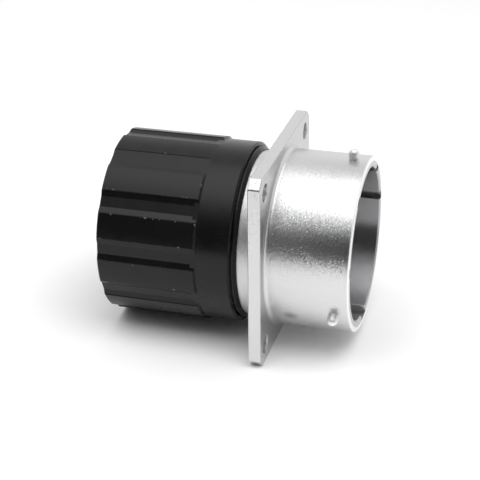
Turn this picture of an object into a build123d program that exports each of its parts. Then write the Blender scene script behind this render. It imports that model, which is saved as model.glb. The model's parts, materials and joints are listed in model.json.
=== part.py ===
from build123d import *
from math import cos, hypot, radians, sin, tan
import os

os.makedirs("parts", exist_ok=True)

# Bayonet coaxial connector on a square flange. X is the connector's axis, towards the receptacle;
# Z is up and the origin is the centre of the flange's front face. All sizes are in millimetres.

# Square flange
flange_overhang = 2.49
flange_thickness = 2.67
flange_corner_bevel = 1.8
flange_corner_round = 0.6
flange_edge_break = 0.2
hole_margin = 3.975
hole_diameter = 3.74

# Receptacle barrel, in front of the flange
barrel_diameter = 37.9
barrel_length = 17.6
barrel_wall = 2.4
barrel_root_fillet = 1.0
rim_outer_bevel = 0.2
rim_inner_bevel = 0.3
receptacle_depth = 9.5

# Keyways in the barrel and the keys on the plug spigot share one layout, in degrees from the master
master_angle = 270
key_angles = (105, 140, 215, 265)
keyway_depth = 1.1
keyway_width = 2.1
master_keyway_width = 4.75
key_clearance = 0.2
key_height = 0.8

# Bayonet pins on the barrel
bayonet_pins = 3
first_pin_angle = 88
pin_diameter = 2.25
pin_height = 2.3
pin_bury = 1.9
pin_end_round = 1.0
pin_setback = 3.24

# Neck, ring seat and plug spigot, behind the flange
shoulder_height = 1.95
neck_length = 8.35
gasket_step = 1.05
spigot_wall = 1.95
spigot_length = 13.8
spigot_rim_bevel = 0.4

# Insert pocket through the middle of the shell
insert_step = 3.15
pocket_floor = 1.0
pocket_ledge = 0.5
pocket_overrun = 1.8
insert_clearance = 0.05

# Snap ring that holds the front insert
front_snap_thickness = 1.0
front_snap_groove = 0.5
front_snap_reach = 1.25
snap_play = 0.05
snap_gap = 6.5

# Coupling ring
ring_length = 30.06
ring_wall = 1.95
chamber_depth = 1.75
ring_clearance = 0.08
ring_flange_thickness = 1.95
nose_gap = 3.37
nose_length = 1.16
nose_step = 0.85
nose_bevel = 0.65
nose_relief_width = 0.3
nose_relief_depth = 0.3
band_length = 7.3
band_front_bevel = 0.4
ring_mouth_bevel = 0.5
ring_end_bevel = 0.2

# Grip lands round the coupling ring; each gap has a flat floor, easy slopes and steep edges
land_count = 12
land_angle = 10.4
land_height = 0.5
gap_floor_width = 2.2
gap_floor_drop = 0.2
gap_slope_width = 1.25
gap_slope_angle = 16
gap_edge_angle = 60
gap_runout = 1.1
land_front_slope = 0.4
land_edge_round = 0.12

# Bayonet grooves inside the coupling ring
groove_depth = 0.95
groove_width = 2.9
groove_entry_angle = 30
groove_entry_length = 4.6
groove_turn = 100
groove_rise = 4.0

# Thrust washer, wave spring and snap ring behind the ring's flange
axial_play = 0.05
washer_thickness = 0.6
washer_clearance = 0.25
spring_waves = 3
spring_step = 15
spring_strip = 0.35
spring_width = 1.1
spring_height = 1.5
spring_clearance = 0.2
rear_snap_thickness = 0.9
rear_snap_groove = 0.75
rear_snap_reach = 1.3
seat_land = 0.9

# Seals
spigot_gasket_thickness = 1.6
gasket_clearance = 0.65
face_seal_play = 0.1

# Coaxial contacts
contact_count = 4
contact_circle_radius = 6.9
sheath_diameter = 6.2
sheath_bore = 4.6
sheath_collar_diameter = 7.6
sheath_collar_length = 1.5
sheath_pin_length = 7.0
sheath_slot_width = 0.5
sheath_slot_length = 4.5
sheath_slots = 4
sheath_end_bevel = 0.3
bead_recess = 5.0
centre_diameter = 1.2
centre_socket_diameter = 2.0
centre_socket_depth = 3.5
centre_slot_width = 0.3
centre_recess = 1.0

# Radii and stations along the axis that follow from the sizes above
barrel_radius = barrel_diameter / 2
bore_radius = barrel_radius - barrel_wall
flange_side = barrel_diameter + 2 * flange_overhang
hole_spacing = flange_side - 2 * hole_margin
pocket_radius = bore_radius - insert_step
cavity_radius = pocket_radius - pocket_ledge
spigot_radius = cavity_radius + spigot_wall
seat_radius = spigot_radius + gasket_step
neck_radius = seat_radius + shoulder_height
chamber_radius = seat_radius + chamber_depth
band_radius = chamber_radius + ring_wall
land_radius = band_radius + land_height
nose_radius = band_radius - nose_step
sheath_radius = sheath_diameter / 2
collar_radius = sheath_collar_diameter / 2
bead_radius = sheath_bore / 2
centre_radius = centre_diameter / 2

flange_back = -flange_thickness
shoulder = flange_back - neck_length
front_face = barrel_length - receptacle_depth
insert_face = front_face - front_snap_thickness - snap_play
ring_flange_front = shoulder - axial_play
ring_flange_back = ring_flange_front - ring_flange_thickness
washer_front = ring_flange_back - axial_play
spring_front = washer_front - washer_thickness - axial_play
rear_snap_front = spring_front - spring_height - axial_play
rear_snap_back = rear_snap_front - rear_snap_thickness
seat_end = rear_snap_back - axial_play - seat_land
spigot_rim = seat_end - spigot_length
pocket_end = seat_end - pocket_overrun
nose_front = flange_back - nose_gap
band_front = nose_front - nose_length
ring_end = nose_front - ring_length
land_front = band_front - band_length
sheath_tip = pocket_end - sheath_pin_length

contact_centres = [
    (
        contact_circle_radius * cos(radians(360 * step / contact_count)),
        contact_circle_radius * sin(radians(360 * step / contact_count)),
    )
    for step in range(contact_count)
]


def save(piece, name):
    piece.part.label = name
    export_step(piece.part, "parts/" + name + ".step")


def half_section(points, centre=(0, 0)):
    """A closed outline of (station, radius) points, to be spun about a line along X."""
    with BuildSketch(Plane(origin=(0, *centre))) as section:
        with BuildLine():
            Polyline(*points, close=True)
        make_face()
    return section.sketch


def snap_ring(front, back, inner_radius, outer_radius):
    """An open retaining ring with its gap on top."""
    with BuildPart() as ring:
        outline = [(front, inner_radius), (front, outer_radius), (back, outer_radius), (back, inner_radius)]
        revolve(half_section(outline), axis=Axis.X)
        with Locations((back, 0, 0)):
            Box(
                front - back,
                snap_gap,
                2 * outer_radius,
                align=(Align.MIN, Align.CENTER, Align.MIN),
                mode=Mode.SUBTRACT,
            )
    return ring


# Shell: flange, keyed receptacle barrel, neck and keyed plug spigot, turned and milled in one piece
with BuildPart(Plane.YZ) as shell:
    outline = [
        (barrel_length - rim_outer_bevel, barrel_radius),
        (barrel_length, barrel_radius - rim_outer_bevel),
        (barrel_length, bore_radius + rim_inner_bevel),
        (barrel_length - rim_inner_bevel, bore_radius),
        (front_face + snap_play, bore_radius),
        (front_face + snap_play, bore_radius + front_snap_groove),
        (insert_face, bore_radius + front_snap_groove),
        (insert_face, bore_radius),
        (pocket_floor, bore_radius),
        (pocket_floor, pocket_radius),
        (pocket_end, pocket_radius),
        (pocket_end, cavity_radius),
        (spigot_rim, cavity_radius),
        (spigot_rim, spigot_radius - spigot_rim_bevel),
        (spigot_rim + spigot_rim_bevel, spigot_radius),
        (seat_end, spigot_radius),
        (seat_end, seat_radius),
        (rear_snap_back - axial_play, seat_radius),
        (rear_snap_back - axial_play, seat_radius - rear_snap_groove),
        (rear_snap_front + axial_play, seat_radius - rear_snap_groove),
        (rear_snap_front + axial_play, seat_radius),
        (shoulder, seat_radius),
        (shoulder, neck_radius),
        (0, neck_radius),
        (0, barrel_radius),
    ]
    revolve(half_section(outline), axis=Axis.X)
    with BuildSketch(Plane.YZ.offset(flange_back)) as flange:
        Rectangle(flange_side, flange_side)
        chamfer(flange.vertices(), length=flange_corner_bevel)
        fillet(flange.vertices(), radius=flange_corner_round)
        Circle(seat_radius, mode=Mode.SUBTRACT)
        with GridLocations(hole_spacing, hole_spacing, 2, 2):
            Circle(hole_diameter / 2, mode=Mode.SUBTRACT)
    extrude(amount=flange_thickness)
    for station in (0, flange_back):
        flange_face = shell.faces().filter_by_position(Axis.X, station, station).sort_by(SortBy.AREA)[-1]
        hole_rims = flange_face.inner_wires().sort_by(SortBy.LENGTH)[:-1].edges()
        chamfer(flange_face.outer_wire().edges() + hole_rims, length=flange_edge_break)
    root = shell.edges().filter_by_position(Axis.X, 0, 0).filter_by(GeomType.CIRCLE)
    fillet(root.sort_by(SortBy.RADIUS)[-1], radius=barrel_root_fillet)
    with BuildSketch(Plane.YZ.offset(front_face + snap_play)):
        with PolarLocations(bore_radius, 1, start_angle=master_angle):
            Rectangle(2 * keyway_depth, master_keyway_width)
        for key_angle in key_angles:
            with PolarLocations(bore_radius, 1, start_angle=master_angle + key_angle):
                Rectangle(2 * keyway_depth, keyway_width)
    extrude(amount=receptacle_depth, mode=Mode.SUBTRACT)
    with BuildSketch(Plane.YZ.offset(spigot_rim + spigot_rim_bevel)):
        with PolarLocations(spigot_radius, 1, start_angle=master_angle):
            Rectangle(2 * key_height, master_keyway_width - key_clearance)
        for key_angle in key_angles:
            with PolarLocations(spigot_radius, 1, start_angle=master_angle + key_angle):
                Rectangle(2 * key_height, keyway_width - key_clearance)
    extrude(amount=spigot_length - spigot_rim_bevel - spigot_gasket_thickness - axial_play)
    with PolarLocations(barrel_radius - pin_bury, bayonet_pins, start_angle=first_pin_angle):
        with Locations((0, 0, barrel_length - pin_setback)):
            Cylinder(
                pin_diameter / 2,
                pin_bury + pin_height,
                rotation=(0, 90, 0),
                align=(Align.CENTER, Align.CENTER, Align.MIN),
                mode=Mode.SUBTRACT,
            )
save(shell, "shell")

# Bayonet pins: headless pins with domed ends, pressed into the barrel wall at equal angles
for pin_number in range(1, bayonet_pins + 1):
    pin_angle = radians(first_pin_angle + 360 * (pin_number - 1) / bayonet_pins)
    pin_axis = (0, cos(pin_angle), sin(pin_angle))
    with BuildPart(Plane(origin=(barrel_length - pin_setback, 0, 0), z_dir=pin_axis)) as bayonet_pin:
        with Locations((0, 0, barrel_radius - pin_bury)):
            Cylinder(
                pin_diameter / 2,
                pin_bury + pin_height,
                align=(Align.CENTER, Align.CENTER, Align.MIN),
            )
        head = bayonet_pin.edges().filter_by(GeomType.CIRCLE).sort_by(SortBy.DISTANCE)[-1]
        fillet(head, radius=pin_end_round)
    save(bayonet_pin, "bayonet_pin_" + str(pin_number))

# One bayonet groove: a straight entry from the mouth, a helical ramp and a round rest for the pin
ramp_start = ring_end + groove_entry_length
with BuildPart() as groove:
    with BuildLine() as ramp_path:
        Helix(
            pitch=groove_rise * 360 / groove_turn,
            height=groove_rise,
            radius=chamber_radius,
            center=(0, 0, ramp_start),
        )
    with BuildSketch(Plane(origin=ramp_path.line @ 0, x_dir=(1, 0, 0), z_dir=ramp_path.line % 0)):
        Rectangle(2 * groove_depth, groove_width)
    sweep(is_frenet=True)
    with Locations((chamber_radius, 0, ramp_start)):
        Box(
            2 * groove_depth,
            groove_width,
            groove_entry_length + ring_mouth_bevel,
            align=(Align.CENTER, Align.CENTER, Align.MAX),
        )
    for turn, station in ((0, ramp_start), (groove_turn, ramp_start + groove_rise)):
        with PolarLocations(chamber_radius, 1, start_angle=turn):
            with Locations(Location((0, 0, station), (0, 90, 0))):
                Cylinder(groove_width / 2, 2 * groove_depth)


def gap_section(floor_drop):
    """The outline of a gap between two lands, with its floor a chosen depth below the band."""
    floor_radius = band_radius - floor_drop
    floor_half = gap_floor_width / 2 + (gap_floor_drop - floor_drop) / tan(radians(gap_slope_angle))
    slope_half = gap_floor_width / 2 + gap_slope_width
    slope_radius = band_radius - gap_floor_drop + gap_slope_width * tan(radians(gap_slope_angle))
    edge_half = slope_half + 2 * land_height / tan(radians(gap_edge_angle))
    edge_radius = slope_radius + 2 * land_height
    with BuildSketch() as section:
        Polygon(
            (floor_radius, floor_half),
            (slope_radius, slope_half),
            (edge_radius, edge_half),
            (edge_radius, -edge_half),
            (slope_radius, -slope_half),
            (floor_radius, -floor_half),
            align=None,
        )
    return section.sketch


# Coupling ring: stepped nose, smooth band, grip lands, retaining flange and bayonet grooves
with BuildPart(Plane.YZ) as coupling_ring:
    outline = [
        (nose_front, neck_radius + ring_clearance),
        (nose_front, nose_radius - nose_bevel),
        (nose_front - nose_bevel, nose_radius),
        (band_front + nose_relief_width, nose_radius),
        (band_front + nose_relief_width, nose_radius - nose_relief_depth),
        (band_front, nose_radius - nose_relief_depth),
        (band_front, band_radius - band_front_bevel),
        (band_front - band_front_bevel, band_radius),
        (land_front, band_radius),
        (land_front - land_front_slope, land_radius),
        (ring_end + ring_end_bevel, land_radius),
        (ring_end, land_radius - ring_end_bevel),
        (ring_end, chamber_radius + ring_mouth_bevel),
        (ring_end + ring_mouth_bevel, chamber_radius),
        (ring_flange_back, chamber_radius),
        (ring_flange_back, seat_radius + ring_clearance),
        (ring_flange_front, seat_radius + ring_clearance),
        (ring_flange_front, neck_radius + ring_clearance),
    ]
    revolve(half_section(outline), axis=Axis.X)
    half_pitch = 180 / land_count
    for floor_drop, cut_front in ((0, land_front), (gap_floor_drop, land_front - gap_runout)):
        with BuildSketch(Plane.YZ.offset(ring_end)):
            with PolarLocations(0, land_count, start_angle=land_angle + half_pitch):
                add(gap_section(floor_drop))
        extrude(amount=cut_front - ring_end, mode=Mode.SUBTRACT)
    land_edges = coupling_ring.edges().filter_by(Axis.X).filter_by(
        lambda edge: hypot(edge.center().Y, edge.center().Z) > land_radius - land_edge_round / 2
    )
    fillet(land_edges, radius=land_edge_round)
    with PolarLocations(0, bayonet_pins, start_angle=groove_entry_angle):
        add(groove.part, mode=Mode.SUBTRACT)
save(coupling_ring, "coupling_ring")

# Thrust washer: flat ring that carries the wave spring's push to the coupling ring's flange
with BuildPart() as thrust_washer:
    outline = [
        (washer_front, seat_radius + ring_clearance),
        (washer_front, chamber_radius - washer_clearance),
        (washer_front - washer_thickness, chamber_radius - washer_clearance),
        (washer_front - washer_thickness, seat_radius + ring_clearance),
    ]
    revolve(half_section(outline), axis=Axis.X)
save(thrust_washer, "thrust_washer")

# Wave spring: a flat strip bent into even waves round the seat
spring_middle = spring_front - spring_height / 2
spring_amplitude = (spring_height - spring_strip) / 2
spring_inner_radius = seat_radius + spring_clearance


def wave_edge(radius):
    """A closed wavy edge of the strip, at a radius from the connector's axis."""
    points = []
    for turn in range(0, 360, spring_step):
        lift = spring_amplitude * cos(radians(spring_waves * turn))
        points.append(
            Vector(spring_middle + lift, radius * cos(radians(turn)), radius * sin(radians(turn)))
        )
    return Edge.make_spline(points, periodic=True)


with BuildPart() as wave_spring:
    strip = Face.make_surface_from_curves(
        wave_edge(spring_inner_radius), wave_edge(spring_inner_radius + spring_width)
    )
    thicken(strip, amount=spring_strip / 2, both=True)
save(wave_spring, "wave_spring")

rear_snap_ring = snap_ring(
    rear_snap_front,
    rear_snap_back,
    seat_radius - rear_snap_groove + snap_play,
    seat_radius + rear_snap_reach,
)
save(rear_snap_ring, "rear_snap_ring")

# Spigot gasket: flat rubber ring that the mating rim presses on
with BuildPart() as spigot_gasket:
    outline = [
        (seat_end, spigot_radius),
        (seat_end, chamber_radius - gasket_clearance),
        (seat_end - spigot_gasket_thickness, chamber_radius - gasket_clearance),
        (seat_end - spigot_gasket_thickness, spigot_radius),
    ]
    revolve(half_section(outline), axis=Axis.X)
save(spigot_gasket, "spigot_gasket")

# Rear insert: insulating body of the plug end, with counterbores for the contact collars
with BuildPart(Plane.YZ) as rear_insert:
    with BuildSketch(Plane.YZ.offset(pocket_end)):
        Circle(pocket_radius - insert_clearance)
        with Locations(*contact_centres):
            Circle(sheath_radius, mode=Mode.SUBTRACT)
    extrude(amount=pocket_floor - pocket_end)
    with BuildSketch(Plane.YZ.offset(pocket_floor)):
        with Locations(*contact_centres):
            Circle(collar_radius)
    extrude(amount=-sheath_collar_length, mode=Mode.SUBTRACT)
save(rear_insert, "rear_insert")

# Front insert: insulating disc of the receptacle end, which traps the contact collars
with BuildPart(Plane.YZ) as front_insert:
    with BuildSketch(Plane.YZ.offset(pocket_floor)):
        Circle(bore_radius - insert_clearance)
        with Locations(*contact_centres):
            Circle(sheath_radius, mode=Mode.SUBTRACT)
    extrude(amount=insert_face - pocket_floor)
save(front_insert, "front_insert")

# Face seal: rubber pad on the front insert, inside the snap ring
with BuildPart(Plane.YZ) as face_seal:
    with BuildSketch(Plane.YZ.offset(insert_face)):
        Circle(bore_radius - front_snap_reach - face_seal_play)
        with Locations(*contact_centres):
            Circle(sheath_radius, mode=Mode.SUBTRACT)
    extrude(amount=front_face - insert_face)
save(face_seal, "face_seal")

front_snap_ring = snap_ring(
    front_face,
    front_face - front_snap_thickness,
    bore_radius - front_snap_reach,
    bore_radius + front_snap_groove - snap_play,
)
save(front_snap_ring, "front_snap_ring")

# Coaxial contacts: in each line a sheath, an insulating bead and a centre contact
bead_front = front_face - bead_recess
socket_front = front_face - centre_recess
for number, centre in enumerate(contact_centres, start=1):
    contact_plane = Plane(origin=(0, *centre), x_dir=(0, 1, 0), z_dir=(1, 0, 0))

    # Sheath: outer contact with a locating collar and a slotted plug end
    with BuildPart(contact_plane) as sheath:
        outline = [
            (front_face, bead_radius),
            (front_face, sheath_radius),
            (pocket_floor, sheath_radius),
            (pocket_floor, collar_radius),
            (pocket_floor - sheath_collar_length, collar_radius),
            (pocket_floor - sheath_collar_length, sheath_radius),
            (sheath_tip + sheath_end_bevel, sheath_radius),
            (sheath_tip, sheath_radius - sheath_end_bevel),
            (sheath_tip, bead_radius),
        ]
        revolve(half_section(outline, centre), axis=Axis((0, *centre), (1, 0, 0)))
        with Locations((0, 0, sheath_tip)):
            with PolarLocations(sheath_radius, sheath_slots, start_angle=180 / sheath_slots):
                Box(
                    sheath_diameter,
                    sheath_slot_width,
                    sheath_slot_length,
                    align=(Align.CENTER, Align.CENTER, Align.MIN),
                    mode=Mode.SUBTRACT,
                )
    save(sheath, "sheath_" + str(number))

    # Bead: insulating sleeve that centres the inner contact in the sheath
    with BuildPart(contact_plane) as bead:
        outline = [
            (bead_front, centre_radius),
            (bead_front, bead_radius),
            (pocket_end, bead_radius),
            (pocket_end, centre_radius),
        ]
        revolve(half_section(outline, centre), axis=Axis((0, *centre), (1, 0, 0)))
    save(bead, "bead_" + str(number))

    # Centre contact: round pin at the plug end, slotted socket at the receptacle end
    with BuildPart(contact_plane) as centre_contact:
        outline = [
            (socket_front - centre_socket_depth, 0),
            (socket_front - centre_socket_depth, centre_radius),
            (socket_front, centre_radius),
            (socket_front, centre_socket_diameter / 2),
            (bead_front, centre_socket_diameter / 2),
            (bead_front, centre_radius),
            (sheath_tip + centre_recess + centre_radius / 2, centre_radius),
            (sheath_tip + centre_recess, centre_radius / 2),
            (sheath_tip + centre_recess, 0),
        ]
        revolve(half_section(outline, centre), axis=Axis((0, *centre), (1, 0, 0)))
        with Locations((0, 0, socket_front)):
            Box(
                centre_socket_diameter * 2,
                centre_slot_width,
                centre_socket_depth,
                align=(Align.CENTER, Align.CENTER, Align.MAX),
                mode=Mode.SUBTRACT,
            )
    save(centre_contact, "centre_contact_" + str(number))
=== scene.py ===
# Bayonet coaxial connector: surface finishes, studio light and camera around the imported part.
import json
from math import atan2, cos, degrees, pi, radians, sin

import bmesh
import bpy
from mathutils import Matrix, Vector


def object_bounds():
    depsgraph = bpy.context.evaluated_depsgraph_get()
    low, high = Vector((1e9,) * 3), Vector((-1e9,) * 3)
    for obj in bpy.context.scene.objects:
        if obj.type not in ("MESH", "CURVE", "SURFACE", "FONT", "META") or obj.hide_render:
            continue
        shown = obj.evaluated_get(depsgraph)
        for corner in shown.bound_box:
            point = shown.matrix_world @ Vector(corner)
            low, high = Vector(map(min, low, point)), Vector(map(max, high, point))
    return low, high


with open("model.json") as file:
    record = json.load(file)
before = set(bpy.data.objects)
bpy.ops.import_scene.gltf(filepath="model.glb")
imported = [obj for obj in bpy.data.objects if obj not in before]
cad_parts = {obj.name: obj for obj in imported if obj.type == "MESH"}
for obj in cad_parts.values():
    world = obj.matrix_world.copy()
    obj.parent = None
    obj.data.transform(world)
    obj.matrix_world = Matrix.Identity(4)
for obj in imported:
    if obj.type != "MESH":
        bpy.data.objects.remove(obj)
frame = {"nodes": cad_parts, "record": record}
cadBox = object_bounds()
nodes = frame["nodes"]
mm = 0.001
barrelEnd = cadBox[1][0]
flangeBottom = cadBox[0][2]
print("frame loaded")


class Wire:
    # one socket of a shader; sums on it add Math nodes
    def __init__(self, tree, socket=None):
        self.tree = tree
        self.socket = socket

    def add(self, kind, settings=None, inputs=None, output=0):
        # any node: its type, its settings, then the values or links of its sockets
        node = self.tree.nodes.new(kind)
        for name, value in (settings or {}).items():
            setattr(node, name, value)
        for name, value in (inputs or {}).items():
            if isinstance(value, Wire):
                self.tree.links.new(value.socket, node.inputs[name])
            else:
                node.inputs[name].default_value = value
        return Wire(self.tree, node.outputs[output])

    def maths(self, operation, other=0.0):
        return self.add("ShaderNodeMath", {"operation": operation}, {0: self, 1: other})

    def __add__(self, other):
        return self.maths("ADD", other)

    def __radd__(self, other):
        return self.maths("ADD", other)

    def __sub__(self, other):
        return self.maths("SUBTRACT", other)

    def __rsub__(self, other):
        return self.add("ShaderNodeMath", {"operation": "SUBTRACT"}, {0: other, 1: self})

    def __mul__(self, other):
        return self.maths("MULTIPLY", other)

    def __rmul__(self, other):
        return self.maths("MULTIPLY", other)

    def vectors(self, operation, other=(0, 0, 0), output="Vector"):
        return self.add("ShaderNodeVectorMath", {"operation": operation}, {0: self, 1: other}, output)

    def scaled(self, factor):
        # a vector times a value
        return self.add("ShaderNodeVectorMath", {"operation": "SCALE"}, {0: self, "Scale": factor})

    def part(self, name):
        # one axis of a vector
        return self.add("ShaderNodeSeparateXYZ", None, {0: self}, name)

    def ease(self, low, high, start=0.0, end=1.0):
        # goes smoothly from start to end while this value goes from low to high
        inputs = {"Value": self, "From Min": low, "From Max": high, "To Min": start, "To Max": end}
        return self.add("ShaderNodeMapRange", {"interpolation_type": "SMOOTHSTEP"}, inputs)


def grey(level):
    return (level, level, level)


def mixColour(factor, first, second):
    # sockets 6 and 7 of a Mix node are its two colours, and output 2 is the mixed one
    before, after = (value if isinstance(value, Wire) else (*value, 1) for value in (first, second))
    return factor.add("ShaderNodeMix", {"data_type": "RGBA"}, {0: factor, 6: before, 7: after}, 2)


def newFinish(name):
    # an empty material, its Principled shader and a first wire with the object's coordinates
    material = bpy.data.materials.new(name)
    material.use_nodes = True
    tree = material.node_tree
    shader = tree.nodes["Principled BSDF"]
    where = Wire(tree).add("ShaderNodeTexCoord", output="Object")
    return material, shader, where


def feed(shader, name, wire):
    wire.tree.links.new(wire.socket, shader.inputs[name])


def fromAxis(where):
    # distance from the connector's axis
    across, up = where.part("Y"), where.part("Z")
    return (across * across + up * up).maths("SQRT")


def noise(where, size, detail, roughness=0.5):
    # fractal noise whose patches are about one size across
    inputs = {"Vector": where, "Scale": 1 / size, "Detail": detail, "Roughness": roughness}
    return where.add("ShaderNodeTexNoise", None, inputs)


def bump(height, depth):
    return height.add("ShaderNodeBump", None, {"Height": height, "Distance": depth, "Strength": 1.0})


def facets(where, size, tilt, lengthwise):
    # the surface normal, leaning at random from one small grain to the next, a few grains by much more than
    # the rest, and leaning along the axis by a value of its own
    cells = where.add("ShaderNodeTexVoronoi", None, {"Vector": where, "Scale": 1 / size}, "Color")
    lean = cells.vectors("SUBTRACT", (0.5, 0.5, 0.5))
    reach = lean.vectors("LENGTH", output="Value")
    lean = lean.scaled(tilt * 4 * reach * reach)  # 4 makes it the tilt itself where the reach is a half
    ahead = where.add("ShaderNodeCombineXYZ", None, {"X": lengthwise})
    normal = where.add("ShaderNodeNewGeometry", output="Normal")
    return normal.vectors("ADD", lean).vectors("ADD", ahead).vectors("NORMALIZE")


plate = {
    "colour": (0.72, 0.72, 0.725),
    "dullColour": (0.67, 0.67, 0.675),
    "dullShares": (0.6, 0.4),  # how much the fine shot and the wide cloud count in it
    "shotLevels": (0.35, 0.65),
    "faceShadeColour": (0.58, 0.58, 0.585),  # painted shade: the flange's flat front is darker, standing in for the shaded floor it reflects
    "faceShadeFade": (0.1 * mm, 0.2 * mm),
    # painted shade: the bore is a darker copy of the plate colour
    "boreShadeColour": (0.43, 0.43, 0.44),
    "rubbedAndGlintColour": (0.93, 0.93, 0.93),  # the rim, rubbed bright, and a painted highlight: a glint along the wide keyway's edges low in the bore
    "smudgeColour": (0.3, 0.3, 0.3),
    "roughness": 0.35,
    "rimRoughness": 0.29,
    "neckExtra": 0.12,  # more roughness behind the flange
    "roughSpread": 0.04,
    "boreRoughness": 0.24,
    "barrelSpan": (3 * mm, 17 * mm),  # from the barrel's root to its rim
    "neckFade": (-3.2 * mm, -2.8 * mm),
    "grain": 0.18 * mm,
    "cloud": 6 * mm,
    "lean": 0.1,
    "rootLean": 1.1,  # times the lean at the barrel's root
    "boreStart": (0.5 * mm, 0.8 * mm),
    "boreReach": (17.8 * mm, 17.95 * mm),
    "toolPitch": 0.1 * mm,
    "toolLean": 0.38,
    "rimWidth": 0.3 * mm,
    "rimFade": 0.2 * mm,
    "keyHalf": 2.44 * mm,
    "keyGlint": (0.06 * mm, 0.14 * mm),
    "keyGlintHeights": (-15 * mm, -14.5 * mm),
    "smudgePlace": (5 * mm, -15.5 * mm, -10.9 * mm),
    "smudgeReach": 2.4 * mm,
    "smudgeWander": 1.2 * mm,
    "smudgeDepth": 0.9,
}


def plateColour(where, bore, shot, cloud):
    along = where.part("X")
    shotShare, cloudShare = plate["dullShares"]
    dull = shot.ease(*plate["shotLevels"]) * shotShare + cloud * cloudShare
    outside = mixColour(dull, plate["dullColour"], plate["colour"])
    # painted shade: the flange's flat front takes the darker face colour
    front = along.maths("ABSOLUTE").ease(*plate["faceShadeFade"], 1.0, 0.0)
    outside = mixColour(front, outside, plate["faceShadeColour"])
    rimStart = barrelEnd - plate["rimWidth"]
    rim = along.ease(rimStart, rimStart + plate["rimFade"])
    outside = mixColour(rim, outside, plate["rubbedAndGlintColour"])
    away = where.vectors("DISTANCE", plate["smudgePlace"], "Value") + plate["smudgeWander"] * (cloud - 0.5)
    smudge = away.ease(0.0, plate["smudgeReach"], plate["smudgeDepth"], 0.0)
    outside = mixColour(smudge, outside, plate["smudgeColour"])
    # painted highlight: a glint along the wide keyway's edges, low in the bore
    fromEdge = (where.part("Y").maths("ABSOLUTE") - plate["keyHalf"]).maths("ABSOLUTE")
    low = where.part("Z").ease(*plate["keyGlintHeights"], 1.0, 0.0)
    keyGlint = fromEdge.ease(*plate["keyGlint"], 1.0, 0.0) * low
    # painted shade: inside the bore the plate takes its darker copy of the colour
    inside = mixColour(keyGlint, plate["boreShadeColour"], plate["rubbedAndGlintColour"])
    return mixColour(bore, outside, inside)


def nickelPlate():
    # blasted outside; the bore is only turned, so it keeps the fine rings of the tool
    material, shader, where = newFinish("nickelPlate")
    along, radius = where.part("X"), fromAxis(where)
    bore = along.ease(*plate["boreStart"]) * radius.ease(*plate["boreReach"], 1.0, 0.0)
    shot = noise(where, plate["grain"], 2.0, 0.6)
    cloud = noise(where, plate["cloud"], 3.0)
    shader.inputs["Metallic"].default_value = 1
    feed(shader, "Base Color", plateColour(where, bore, shot, cloud))
    rough = along.ease(*plate["barrelSpan"], plate["roughness"], plate["rimRoughness"])
    rough = rough + along.ease(*plate["neckFade"], plate["neckExtra"], 0.0)
    rough = rough + plate["roughSpread"] * (shot - 0.5)
    feed(shader, "Roughness", rough + bore * (plate["boreRoughness"] - rough))
    rings = (along * (2 * pi / plate["toolPitch"])).maths("SINE") * bore * plate["toolLean"]
    tilt = (1 - bore) * plate["lean"] * along.ease(*plate["barrelSpan"], plate["rootLean"], 1.0)
    feed(shader, "Normal", facets(where, plate["grain"], tilt, rings))
    return material


anodised = {
    "colour": (0.004, 0.004, 0.0042),
    "dustColour": (0.009, 0.009, 0.009),
    "bareColour": (0.3, 0.3, 0.3),
    "roughness": 0.25,
    "cloudSpread": 0.12,
    "grainSpread": 0.1,
    "gloss": 0.29,
    "cloud": 4 * mm,
    "grain": 0.3 * mm,
    "grainDepth": 0.01 * mm,
    "lands": 12,
    "gapAngle": 25.4,  # middle of one gap, degrees about the axis
    "gapHalf": 7.4,
    "landFront": -14.85 * mm,
    "landRadius": 20.1 * mm,
    "landDepths": (0.4 * mm, 0.1 * mm),  # under the land's radius, where its wear fades in
    "frontFade": 0.3 * mm,
    "sideFade": 0.7,  # degrees
    "sideShare": 0.9,
    "cornerFade": 0.35 * mm,
    "cornerReach": (0.5, 2.5),  # degrees
    "cornerFar": 0.3,
    "speck": 1.2 * mm,
    "speckLevels": (0.6, 0.72),  # higher levels leave fewer specks
}


def landWear(where):
    # bare metal shows in specks along the lands' long edges and on their front corners
    along = where.part("X")
    landFront = anodised["landFront"]
    low, high = (anodised["landRadius"] - depth for depth in anodised["landDepths"])
    onLand = fromAxis(where).ease(low, high)
    pitch = 360 / anodised["lands"]
    turn = where.part("Z").maths("ARCTAN2", where.part("Y"))
    place = turn * (degrees(1) / pitch) - anodised["gapAngle"] / pitch
    fromGap = (place - place.maths("ROUND")).maths("ABSOLUTE") * pitch
    fromSide = (fromGap - anodised["gapHalf"]).maths("ABSOLUTE")  # degrees from a land's nearest long edge
    side = fromSide.ease(0.0, anodised["sideFade"], anodised["sideShare"], 0.0)
    side = side * along.ease(landFront, landFront + anodised["frontFade"], 1.0, 0.0)
    fromFront = (along - landFront).maths("ABSOLUTE")
    corner = fromFront.ease(0.0, anodised["cornerFade"], 1.0, 0.0)
    corner = corner * fromSide.ease(*anodised["cornerReach"], 1.0, anodised["cornerFar"])
    specks = noise(where, anodised["speck"], 3.0, 0.7).ease(*anodised["speckLevels"])
    return onLand * side.maths("MAXIMUM", corner) * specks


def blackAnodised():
    material, shader, where = newFinish("blackAnodised")
    grain = noise(where, anodised["grain"], 2.0, 0.6)
    cloud = noise(where, anodised["cloud"], 3.0)
    sound = mixColour(cloud, anodised["colour"], anodised["dustColour"])
    feed(shader, "Base Color", mixColour(landWear(where), sound, anodised["bareColour"]))
    spread = anodised["cloudSpread"] * (cloud - 0.5) + anodised["grainSpread"] * (grain - 0.5)
    feed(shader, "Roughness", anodised["roughness"] + spread)
    feed(shader, "Normal", bump(grain, anodised["grainDepth"]))
    shader.inputs["Specular IOR Level"].default_value = anodised["gloss"]
    return material


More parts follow.
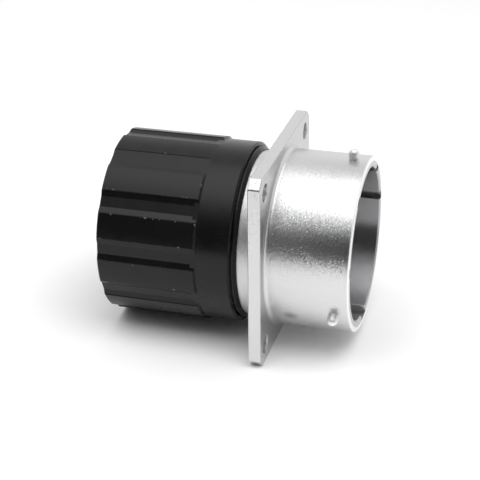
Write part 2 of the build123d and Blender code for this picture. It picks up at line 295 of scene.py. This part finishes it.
# The small pieces' finishes: name, colour, roughness, metallic, size and depth of the grain.
smallPieces = {
    "pin_steel": ("pinSteel", grey(0.95), 0.52, 1, 0.4 * mm, 0.01 * mm),
    "spring_steel": ("springSteel", grey(0.4), 0.35, 1, 0.3 * mm, 0.01 * mm),
    "seal_rubber": ("sealRubber", grey(0.05), 0.7, 0, 0.4 * mm, 0.02 * mm),
    "insert_plastic": ("insertPlastic", grey(0.03), 0.5, 0, 0.5 * mm, 0.01 * mm),
    "contact_silver": ("contactSilver", (0.8, 0.8, 0.77), 0.25, 1, 0.4 * mm, 0.01 * mm),
    "bead_white": ("beadWhite", (0.8, 0.8, 0.77), 0.5, 0, 0.4 * mm, 0.01 * mm),
    "contact_gold": ("contactGold", (0.83, 0.62, 0.26), 0.22, 1, 0.4 * mm, 0.008 * mm),
}
darkShare = 0.85  # what the darkest grains keep of the colour
smallSpread = 0.12  # how far the roughness goes up and down with the grain


def plainFinish(name, colour, roughness, metallic, size, depth):
    material, shader, where = newFinish(name)
    fine = noise(where, size, 3.0, 0.6)
    dark = tuple(level * darkShare for level in colour)
    feed(shader, "Base Color", mixColour(fine.ease(0.3, 0.7), dark, colour))
    feed(shader, "Roughness", roughness + smallSpread * (fine - 0.5))
    feed(shader, "Normal", bump(fine, depth))
    shader.inputs["Metallic"].default_value = metallic
    return material


finishes = {slot: plainFinish(*values) for slot, values in smallPieces.items()}
finishes["nickel_plate"] = nickelPlate()
finishes["black_ring"] = blackAnodised()

for part in frame["record"]["subparts"]:
    slots = nodes[part["node"]].material_slots
    slots[0].material = finishes[part["material_slot"]]

print("finishes set")

# The part rests on the flange's rear lower edge and on the coupling ring's open end.
rest = {
    "flangeFoot": (-2.47 * mm, flangeBottom),
    "ringFoot": (-35.9 * mm, -anodised["landRadius"]),
    "floorHalf": 1.2,  # metres
    "frontEdge": 0.2,  # how far the paper reaches towards the camera
    "paper": 0.95,
    "paperShown": 1.04,  # over 1, so that the lit paper reaches the backdrop's white
}


def rayIs(tree, kind):
    return Wire(tree).add("ShaderNodeLightPath", output="Is " + kind + " Ray")


def seenDirectly(tree):
    # 1 for what the camera, a mirror or glass shows, 0 for light that only falls on things
    mirrored = rayIs(tree, "Glossy").maths("MAXIMUM", rayIs(tree, "Transmission"))
    return rayIs(tree, "Camera").maths("MAXIMUM", mirrored)


def floorPaper():
    material = bpy.data.materials.new("floorPaper")
    material.use_nodes = True
    tree = material.node_tree
    tree.nodes.remove(tree.nodes["Principled BSDF"])
    colour = mixColour(seenDirectly(tree), grey(rest["paper"]), grey(rest["paperShown"]))
    paper = colour.add("ShaderNodeBsdfDiffuse", None, {"Color": colour})
    feed(tree.nodes["Material Output"], "Surface", paper)
    return material


def layFloor():
    footX, footZ = rest["flangeFoot"]
    ringX, ringZ = rest["ringFoot"]
    tilt = atan2(ringZ - footZ, footX - ringX)
    shape = bmesh.new()
    bmesh.ops.create_grid(shape, x_segments=1, y_segments=1, size=rest["floorHalf"])
    bmesh.ops.translate(shape, verts=shape.verts, vec=(0, rest["floorHalf"] - rest["frontEdge"], 0))
    bmesh.ops.rotate(shape, verts=shape.verts, cent=(0, 0, 0), matrix=Matrix.Rotation(tilt, 3, "Y"))
    bmesh.ops.translate(shape, verts=shape.verts, vec=(footX, 0, footZ))
    mesh = bpy.data.meshes.new("floor")
    shape.to_mesh(mesh)
    shape.free()
    mesh.materials.append(floorPaper())
    floor = bpy.data.objects.new("floor", mesh)
    bpy.context.scene.collection.objects.link(floor)


layFloor()
print("floor laid")

# Heights and sides are parts of a direction, from -1 to 1.
studio = {
    "white": 1.0,
    "ceiling": 0.78,
    "ceilingHeights": (0.3, 0.7),
    "overhead": 1.45,
    "overheadLean": 6.03,  # degrees towards the camera's side
    "overheadEdge": (0.77, 0.975),
    "front": 0.03,  # the dark room behind the camera as metal shows it
    "frontFill": 0.1,  # and as it lights matt surfaces
    "roomSides": (-0.5, 0.1),
    "roomHeights": (0.48, 0.78),
    "level": 0.56,  # light on matt surfaces
    "right": 0.45,  # what it gains towards the right
    "rightEdge": 0.8,
    "lowShare": 0.6,  # times the level at the horizon
    "highShare": 1.12,  # and from fullHeight up
    "fullHeight": 0.6,
    "boxPlace": (0.05, -0.19, 0.62),  # metres
    "boxSize": (0.8, 0.45),
    "boxWatts": 3.0,
}


def worldLight():
    world = bpy.data.worlds.new("studio")
    bpy.context.scene.world = world
    world.use_nodes = True
    tree = world.node_tree
    background = tree.nodes["Background"]
    direction = Wire(tree).add("ShaderNodeTexCoord", output="Generated")
    side, height = direction.part("Y"), direction.part("Z")
    camera, shown = rayIs(tree, "Camera"), seenDirectly(tree)
    plain = studio["level"] + studio["right"] * direction.part("X").ease(0.0, studio["rightEdge"])
    plain = plain * height.ease(0.0, studio["fullHeight"], studio["lowShare"], studio["highShare"])
    ceiling = height.ease(*studio["ceilingHeights"], studio["white"], studio["ceiling"])
    backdrop = ceiling + camera * (studio["white"] - ceiling)
    level = plain + shown * (backdrop - plain)
    lean = radians(studio["overheadLean"])
    overhead = (height * cos(lean) - side * sin(lean)).ease(*studio["overheadEdge"])
    level = level + overhead * (shown - camera) * studio["overhead"]  # the soft box as metal shows it
    behind = side.ease(*studio["roomSides"], 1.0, 0.0) * height.ease(*studio["roomHeights"], 1.0, 0.0)
    room = studio["frontFill"] + shown * (studio["front"] - studio["frontFill"])
    feed(background, "Strength", level + (1 - camera) * behind * (room - level))
    background.inputs["Color"].default_value = (1, 1, 1, 1)


def softBox():
    lamp = bpy.data.lights.new("softBox", "AREA")
    lamp.shape = "RECTANGLE"
    lamp.size, lamp.size_y = studio["boxSize"]
    lamp.energy = studio["boxWatts"]
    box = bpy.data.objects.new("softBox", lamp)
    bpy.context.scene.collection.objects.link(box)
    box.visible_glossy = False
    box.location = studio["boxPlace"]
    box.rotation_mode = "QUATERNION"
    box.rotation_quaternion = (-Vector(studio["boxPlace"])).to_track_quat("-Z", "Y")


worldLight()
softBox()
print("studio lit")

view = {
    "place": (62.087 * mm, -250.983 * mm, 126.586 * mm),
    "aim": (-10.346 * mm, 0, -2.539 * mm),
    "roll": 0.637,
    "lens": 99.507,
    "nearest": 10 * mm,
}


def placeCamera():
    lens = bpy.data.cameras.new("camera")
    camera = bpy.data.objects.new("camera", lens)
    bpy.context.scene.collection.objects.link(camera)
    lens.lens = view["lens"]
    lens.clip_start = view["nearest"]
    place = Vector(view["place"])
    ahead = Vector(view["aim"]) - place
    camera.location = place
    turned = ahead.to_track_quat("-Z", "Y").to_matrix() @ Matrix.Rotation(radians(-view["roll"]), 3, "Z")
    camera.rotation_mode = "QUATERNION"
    camera.rotation_quaternion = turned.to_quaternion()
    bpy.context.scene.camera = camera


placeCamera()
bpy.context.scene.view_settings.view_transform = "Standard"
print("camera placed")

print("scene ready")
